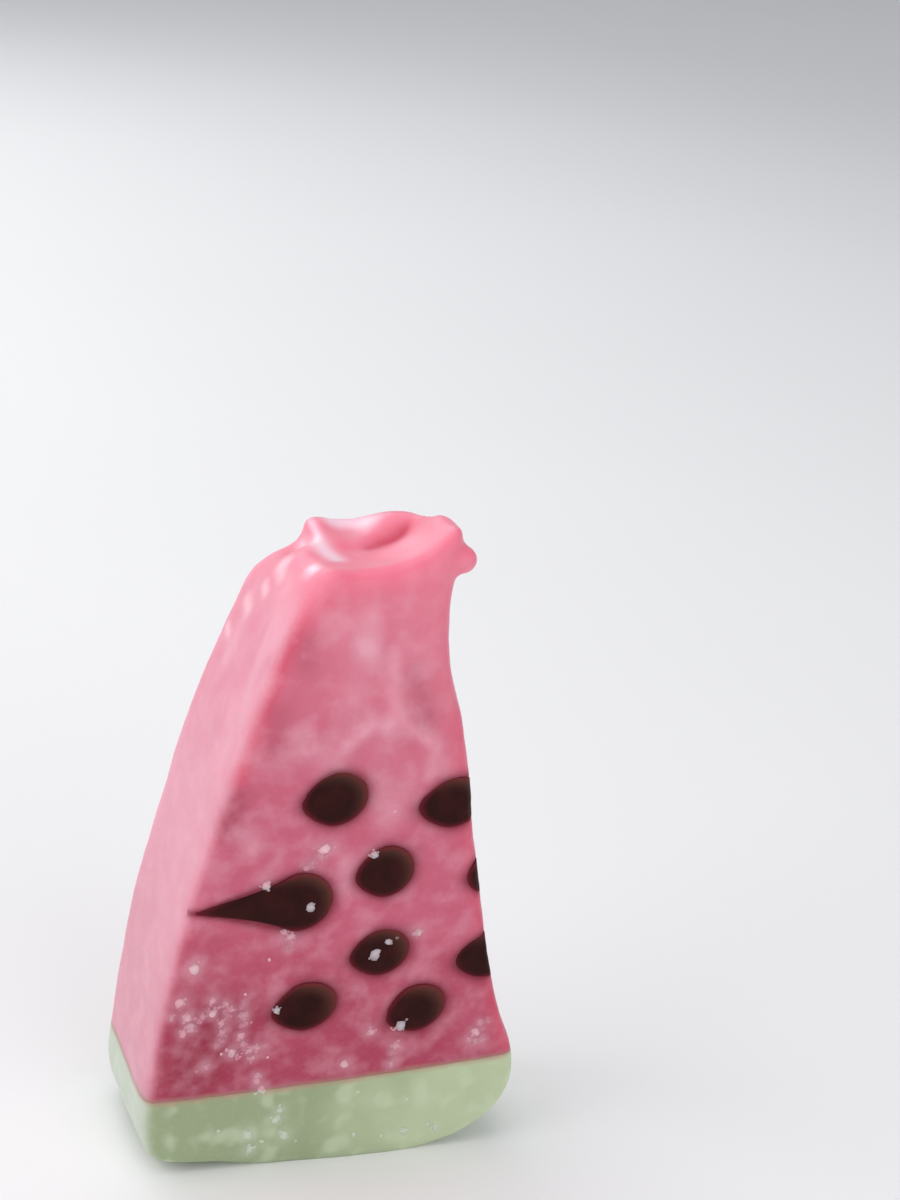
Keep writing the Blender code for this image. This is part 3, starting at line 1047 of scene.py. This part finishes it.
# The red at the right-hand edge is a painted glow of light through the rim.
OVER_VEIL = (("frosted", 0.50, FROST_PINK), ("right_edge", 0.58, GLOW_RED), ("halo", 0.85, STAIN))
OVER_LINE = (
    ("bitten", 0.55, WET_PINK),
    # Painted shade in the hollows of the bite.
    ("hollow", 0.45, HOLLOW_SHADE_PINK),
    # Painted highlights on the bite.
    ("wet_film", 0.85, GLINT_PINK),
    # Painted glints on the left.
    ("left_spots", 0.52, GLINT_CREAM),
    # Painted shade in the groove.
    ("groove", 0.88, GROOVE_SHADE_RED),
)
print("painted layers of the pink:", len(UNDER_VEIL + OVER_VEIL + OVER_LINE))

# %% Veil of frost and layers of colour
PALER_TO_THE_RIGHT = 0.25
VEIL_TO_THE_RIGHT = 9.0
THICKEST_VEIL = 0.85
SOFT_LINE = 1.4
LINE_SHARE = 0.70


def tinted(wire, colour, layers):
    """The colour with painted ones laid over it, in turn."""
    for name, share, tint in layers:
        colour = wire.mix(painted(wire, name) * share, colour, tint)
    return colour


def veil_of_frost_and_sheen(wire, place, mottle, grain):
    """How much veil: frost in patches, slanting streaks, smears; frost and painted sheen on the sides."""
    across = axis(wire, place, 0)
    height = axis(wire, place, 2)
    slanting = {"Vector": place, "Rotation": (0.0, math.radians(-28), 0.0), "Scale": (1.0, 1.0, 0.4)}
    streaks = noise(wire, wire.node("ShaderNodeMapping", None, slanting), 0.007, 1.0)
    side = painted(wire, "side")
    veil = mottle.step(0.38, 0.74) * (0.25 - side * 0.16) + grain.step(0.45, 0.75) * 0.05
    veil = veil + streaks.step(0.46, 0.72) * height.step(0.060, 0.080) * 0.24
    veil = veil + across * height.step(0.060, 0.085) * VEIL_TO_THE_RIGHT
    # On the sides the veil is partly frost and partly painted sheen, a little less of it high up.
    veil = veil + painted(wire, "smear") * 0.30 + side * (0.51 - height.step(0.050, 0.090) * 0.10)
    return veil.math('MINIMUM', veil.math('MAXIMUM', veil, 0.0), THICKEST_VEIL)


def pink_colour(wire, place, grain):
    patches = noise(wire, place, 0.012)
    mottle = noise(wire, place, 0.0042, 3.0)
    # Paler upwards and a little to the right: partly syrup sucked out, partly painted light and shade.
    upward = axis(wire, place, 2) + (patches - 0.5) * 0.030 + axis(wire, place, 0) * PALER_TO_THE_RIGHT
    colour = wire.mix(upward.step(0.015, 0.050), LOW_PINK, MIDDLE_PINK)
    colour = wire.mix(upward.step(0.050, 0.098), colour, PALE_PINK)
    colour = tinted(wire, colour, UNDER_VEIL)
    colour = wire.mix(veil_of_frost_and_sheen(wire, place, mottle, grain), colour, VEIL_PINK)
    colour = tinted(wire, colour, OVER_VEIL)
    line = 1.0 - (painted(wire, "above_line") + (mottle - 0.5) * SOFT_LINE).step(-0.2, 1.0)
    colour = wire.mix(line * LINE_SHARE, colour, LINE_TAN)
    return tinted(wire, colour, OVER_LINE)


print("pink colour ready")

# %% Pink ice material
def pink_ice():
    material, shader, wire, place = new_material("pink_ice")
    grain = noise(wire, place, 0.0009, 3.0, 0.6)
    fine = noise(wire, place, 0.00035, 2.0, 0.6)
    wet = painted(wire, "bitten")
    dry = 1.0 - wet
    plug(shader, base_color=pink_colour(wire, place, grain),
         roughness=0.40 + dry * 0.22 + (grain - 0.5) * dry * 0.25,
         coat_weight=wet * 0.12 + painted(wire, "gleam") * 0.5,
         normal=bumps(wire, (grain * 0.6 + fine * 0.4) * dry, 0.18),
         coat_roughness=0.25, ior=1.31, subsurface_weight=0.55, subsurface_scale=1.0,
         subsurface_radius=(0.0040, 0.0013, 0.0016), sheen_weight=0.15, sheen_roughness=0.45,
         sheen_tint=(1.0, 0.90, 0.93, 1.0))
    return material


def dress(thing, material):
    """Gives a piece its one material."""
    thing.data.materials.clear()
    thing.data.materials.append(material)


dress(flesh, pink_ice())
print("pink ice set")

# %% [markdown]
# ## Green ice
#
# The base is the same kind of ice in a grey green, mottled with pale patches of frost, and paler on the
# sides with frost and painted sheen. Where it meets the pink ice the colours have run into each other
# over about a millimetre.

# %% Green ice material
DARK_GREEN = rgb(157, 171, 135)
MIDDLE_GREEN = rgb(190, 204, 167)
PALE_GREEN = rgb(204, 216, 186)
FROST_AND_SHEEN_GREEN = rgb(207, 214, 203)


def green_ice():
    material, shader, wire, place = new_material("green_ice")
    patches = noise(wire, place, 0.011)
    spots = noise(wire, place, 0.0040, 1.0)
    grain = noise(wire, place, 0.0008, 3.0, 0.6)
    lighter = (axis(wire, place, 0) + (patches - 0.5) * 0.050).step(-0.014, 0.028)
    colour = wire.mix(lighter, DARK_GREEN, MIDDLE_GREEN)
    colour = wire.mix(spots.step(0.48, 0.72) * 0.55, colour, PALE_GREEN)
    colour = wire.mix(painted(wire, "frosted") * 0.55, colour, PALE_GREEN)
    # Painted sheen and frost make the sides paler; the grain adds specks of frost.
    colour = wire.mix(painted(wire, "side") * 0.70 + grain.step(0.5, 0.75) * 0.10, colour, FROST_AND_SHEEN_GREEN)
    line = (painted(wire, "above_line") + (spots - 0.5) * SOFT_LINE).step(-1.2, 0.2)
    colour = wire.mix(line * LINE_SHARE, colour, LINE_TAN)
    plug(shader, base_color=colour, roughness=0.60 + (grain - 0.5) * 0.25,
         normal=bumps(wire, grain, 0.18), ior=1.31, subsurface_weight=0.45, subsurface_scale=1.0,
         subsurface_radius=(0.0020, 0.0024, 0.0014), sheen_weight=0.1, sheen_roughness=0.45)
    return material


dress(rind, green_ice())
print("green ice set")

# %% [markdown]
# ## Chocolate
#
# Frozen chocolate is nearly black, with a dull skin. Damp air leaves a brownish grey bloom on the side
# away from the tip, and the thin tail of the smeared seed lets some pink through.

# %% Chocolate material
DARK_CHOCOLATE = rgb(44, 10, 11)
WARM_CHOCOLATE = rgb(56, 18, 17)
BLOOM = rgb(104, 68, 56)


def bloom(row, side, tail):
    """For one seed: a formula for how near a point is to the rim, more so at the upper right."""
    x, z, length, height, _degrees = row

    def formula(place, normal):
        rim = ramp(seed_distance(place, row, side, tail), -0.0022, 0.0)
        away = (place.x - x) * -side / length + (place.z - z) / height
        return rim * ramp(away, -0.10, 0.60)
    return formula


def seed_rim(row, side, tail):
    """For one seed: a formula that rises from 0 well inside it to 1 at its rim."""
    return lambda place, normal: ramp(seed_distance(place, row, side, tail), -0.0009, 0.0001) ** 1.3


def chocolate():
    material, shader, wire, place = new_material("chocolate")
    patches = noise(wire, place, 0.0040)
    grain = noise(wire, place, 0.0005, 3.0, 0.65)
    colour = wire.mix(patches.step(0.35, 0.70), DARK_CHOCOLATE, WARM_CHOCOLATE)
    colour = wire.mix(painted(wire, "bloom") * 0.65 + grain.step(0.58, 0.74) * 0.08, colour, BLOOM)
    colour = tinted(wire, colour, (("seed_rim", 0.75, STAIN),))
    plug(shader, base_color=colour, roughness=0.55 + (grain - 0.5) * 0.3,
         normal=bumps(wire, grain, 0.2), specular_ior_level=0.12, subsurface_weight=0.1,
         subsurface_scale=1.0, subsurface_radius=(0.0012, 0.0005, 0.0004))
    return material


chocolate_skin = chocolate()
for name, row, side, tail in seed_plan:
    store(seeds[name], {"bloom": bloom(row, side, tail), "seed_rim": seed_rim(row, side, tail)})
    dress(seeds[name], chocolate_skin)
print("chocolate on", len(seeds), "seeds")

# %% [markdown]
# ## Crumbs of frost
#
# Each crumb starts as an icosphere that slow noise has made lumpy. Copies are turned, flattened against
# the surface and sunk half into it. Frost grows in grains, so a crumb is one or two low lumps with a
# cluster of small grains on and round them, thinning out at the rim, which gives it a soft, uneven edge.
# All of them are joined into one mesh.

# %% Patterns of crumbs and grains
CRUMB_LIFT = -0.15
CRUMB_LUMPS = 0.30
draw = random.Random(FROST_SEED)


def rough_crumb(number, level):
    bpy.ops.mesh.primitive_ico_sphere_add(subdivisions=level, radius=1.0)
    made = bpy.context.object
    made.name = f"crumb_pattern_{number}"
    shift = Vector((number * 7.0, 0.0, 0.0))
    for vertex in made.data.vertices:
        vertex.co *= 1.0 + CRUMB_LUMPS * waves.noise(vertex.co * 1.3 + shift)
    return made


def surface_at(x, z, side):
    """The outermost of the ices and seeds at this width and height: its depth and direction."""
    best = None
    for skin in skins:
        place, normal, _face, _gap = skin.ray_cast((x, side * 2 * THICKNESS, z), (0.0, -side, 0.0))
        if place and (best is None or place.y * side > best[0].y * side):
            best = (place, normal)
    return best


def lay_crumb(patterns, x, z, size, side):
    """One crumb on the surface, turned and flattened at random."""
    found = surface_at(x, z, side)
    if found is None:
        return
    place, normal = found
    crumb = copy_of(draw.choice(patterns), "crumb")
    stretch = Vector((draw.uniform(0.9, 1.3), draw.uniform(0.45, 0.6), draw.uniform(0.8, 1.1))) * size
    crumb.matrix_world = (Matrix.Translation(place + normal * size * CRUMB_LIFT)
                          @ Matrix.Rotation(draw.uniform(0.0, math.tau), 4, 'Y')
                          @ Matrix.Diagonal((*stretch, 1.0)))
    crumbs.append(crumb)


scene_state = bpy.context.evaluated_depsgraph_get()
skins = [bvhtree.BVHTree.FromObject(thing, scene_state) for thing in (flesh, rind, *seeds.values())]
crumbs = []
patterns = [rough_crumb(number, 2) for number in range(4)]
grains = [rough_crumb(number, 1) for number in range(4, 7)]
print("patterns:", len(patterns), "crumbs and", len(grains), "grains")

# %% Frost crumbs
LUMP_SHARES = (0.70, 0.85)
SECOND_SHARES = (0.3, 0.6)
SECOND_STRAY = 0.6
GRAINS = 7
GRAIN_STRAY = 0.5
GRAIN_SIZES = (0.00016, 0.00034)
SPRINKLE_SIZES = (0.00025, 0.00042)
SPRINKLE_GAP = 0.0006
# Each patch: the x and z of its middle, half its width, half its height, and how many tries it has.
SPRINKLES = (
    (-0.0185, 0.0250, 0.0080, 0.0070, 26),
    (0.0020, 0.0190, 0.0240, 0.0030, 14),
    (0.0010, 0.0450, 0.0180, 0.0200, 16),
    (0.0020, 0.0080, 0.0230, 0.0050, 16),
)
for side, spots in frost_spots.items():
    for x, z, size in spots:
        lay_crumb(patterns, x, z, size * draw.uniform(*LUMP_SHARES), side)
        second_x = x + draw.uniform(-SECOND_STRAY, SECOND_STRAY) * size
        second_z = z + draw.uniform(-SECOND_STRAY, SECOND_STRAY) * size
        lay_crumb(patterns, second_x, second_z, size * draw.uniform(*SECOND_SHARES), side)
        for _ in range(GRAINS):
            grain_x = x + draw.gauss(0.0, GRAIN_STRAY) * size
            grain_z = z + draw.gauss(0.0, GRAIN_STRAY) * size
            lay_crumb(grains, grain_x, grain_z, draw.uniform(*GRAIN_SIZES), side)
for x, z, half_width, half_height, count in SPRINKLES:
    for _ in range(count):
        spot_x = x + draw.uniform(-1.0, 1.0) * half_width
        spot_z = z + draw.uniform(-1.0, 1.0) * half_height
        side = draw.choice((FRONT, BACK))
        if nearest_seed(Vector((spot_x, 0.0, spot_z)), side) > SPRINKLE_GAP:
            lay_crumb(grains, spot_x, spot_z, draw.uniform(*SPRINKLE_SIZES), side)
for pattern in (*patterns, *grains):
    bpy.data.objects.remove(pattern, do_unlink=True)
select_only(*crumbs)
bpy.ops.object.join()
frost = bpy.context.object
frost.name = "frost_crumbs"
settle(frost)
print("crumbs:", len(crumbs), "faces:", len(frost.data.polygons))

# %% [markdown]
# ## The colour of frost
#
# A crumb is clear enough to take on the colour of what lies under it: pink on the pink ice, greenish on
# the base, and a cold grey on chocolate. Two attributes say which it is. Two more say how large the crumb
# is and how near its middle a point lies, because frost is whitest where it is thick.

# %% Frost material
THIN_FROST = rgb(212, 132, 150)
THICK_FROST = rgb(240, 196, 202)
FROST_GREEN = rgb(204, 212, 190)
FROST_GREY = rgb(198, 188, 194)
DULL_FROST = rgb(132, 104, 104)
# A grain lies alone where the nearest crumb's middle is more than LONE times that crumb's size away.
LONE = 3.0
CORE_REACH = 1.1


def on_base(place, normal):
    return 1.0 if place.z < meeting_height(place.x) else 0.0


def on_chocolate(place, normal):
    return 1.0 - ramp(nearest_seed(place, side_of(place)), -0.0003, 0.0004)


def thick(place, normal):
    """1 in the large crumbs, less in the small ones and in a grain that lies alone."""
    gap, size = nearest_crumb(place)
    return 0.7 if gap > LONE * size else ramp(size, 0.0005, 0.0011)


def core(place, normal):
    """1 in the middle of a crumb's place, falling outwards, and 1 again in a grain that lies alone."""
    gap, size = nearest_crumb(place)
    return 1.0 if gap / size > LONE else math.exp(-(gap / size / CORE_REACH) ** 2)


def frost_ice():
    material, shader, wire, place = new_material("frost")
    middle = painted(wire, "core")
    colour = wire.mix(painted(wire, "thick") * middle, THIN_FROST, THICK_FROST)
    colour = wire.mix(painted(wire, "on_base"), colour, FROST_GREEN)
    grey = wire.mix(middle, DULL_FROST, FROST_GREY)
    colour = wire.mix(painted(wire, "on_chocolate"), colour, grey)
    relief = noise(wire, place, 0.0004)
    plug(shader, base_color=colour, roughness=0.45 + (relief - 0.5) * 0.3,
         normal=bumps(wire, relief, 0.2, 0.0001), ior=1.31, subsurface_weight=0.3,
         subsurface_scale=1.0, subsurface_radius=(0.0005, 0.0004, 0.0004))
    return material


store(frost, {"on_base": on_base, "on_chocolate": on_chocolate, "thick": thick, "core": core})
dress(frost, frost_ice())
print("frost set")

# %% [markdown]
# ## The floor's finish
#
# Plain and pale, with the faintest mottling.

# %% Floor material


def pale_floor():
    material, shader, wire, place = new_material("pale_floor")
    patches = noise(wire, place, 0.25)
    colour = wire.mix(patches, rgb(240, 240, 240), rgb(246, 246, 246))
    plug(shader, base_color=colour, roughness=0.7)
    return material


floor.data.materials.append(pale_floor())
print("floor set")

# %% [markdown]
# ## Shading and bodies
#
# Every piece is shaded smooth, except along the cuts where the two ices meet. The lolly is one body, so
# every piece rides on the root, and each stands for the solid whose form it repeats.

# %% Finish
MEETING_ANGLE = math.radians(50)


def finish_piece(piece, slot_name, *nodes):
    select_only(piece)
    bpy.ops.object.shade_smooth_by_angle(angle=MEETING_ANGLE)
    piece.vertex_groups.clear()
    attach(piece, "root")
    if nodes:
        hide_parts(*nodes)


finish_piece(flesh, "pink_ice", "flesh")
finish_piece(rind, "green_ice", "rind")
finish_piece(frost, "frost")
for name, seed in seeds.items():
    finish_piece(seed, "chocolate", name)
shown = list(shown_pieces())
print("pieces:", len(shown), "faces:", sum(len(thing.data.polygons) for thing in shown))
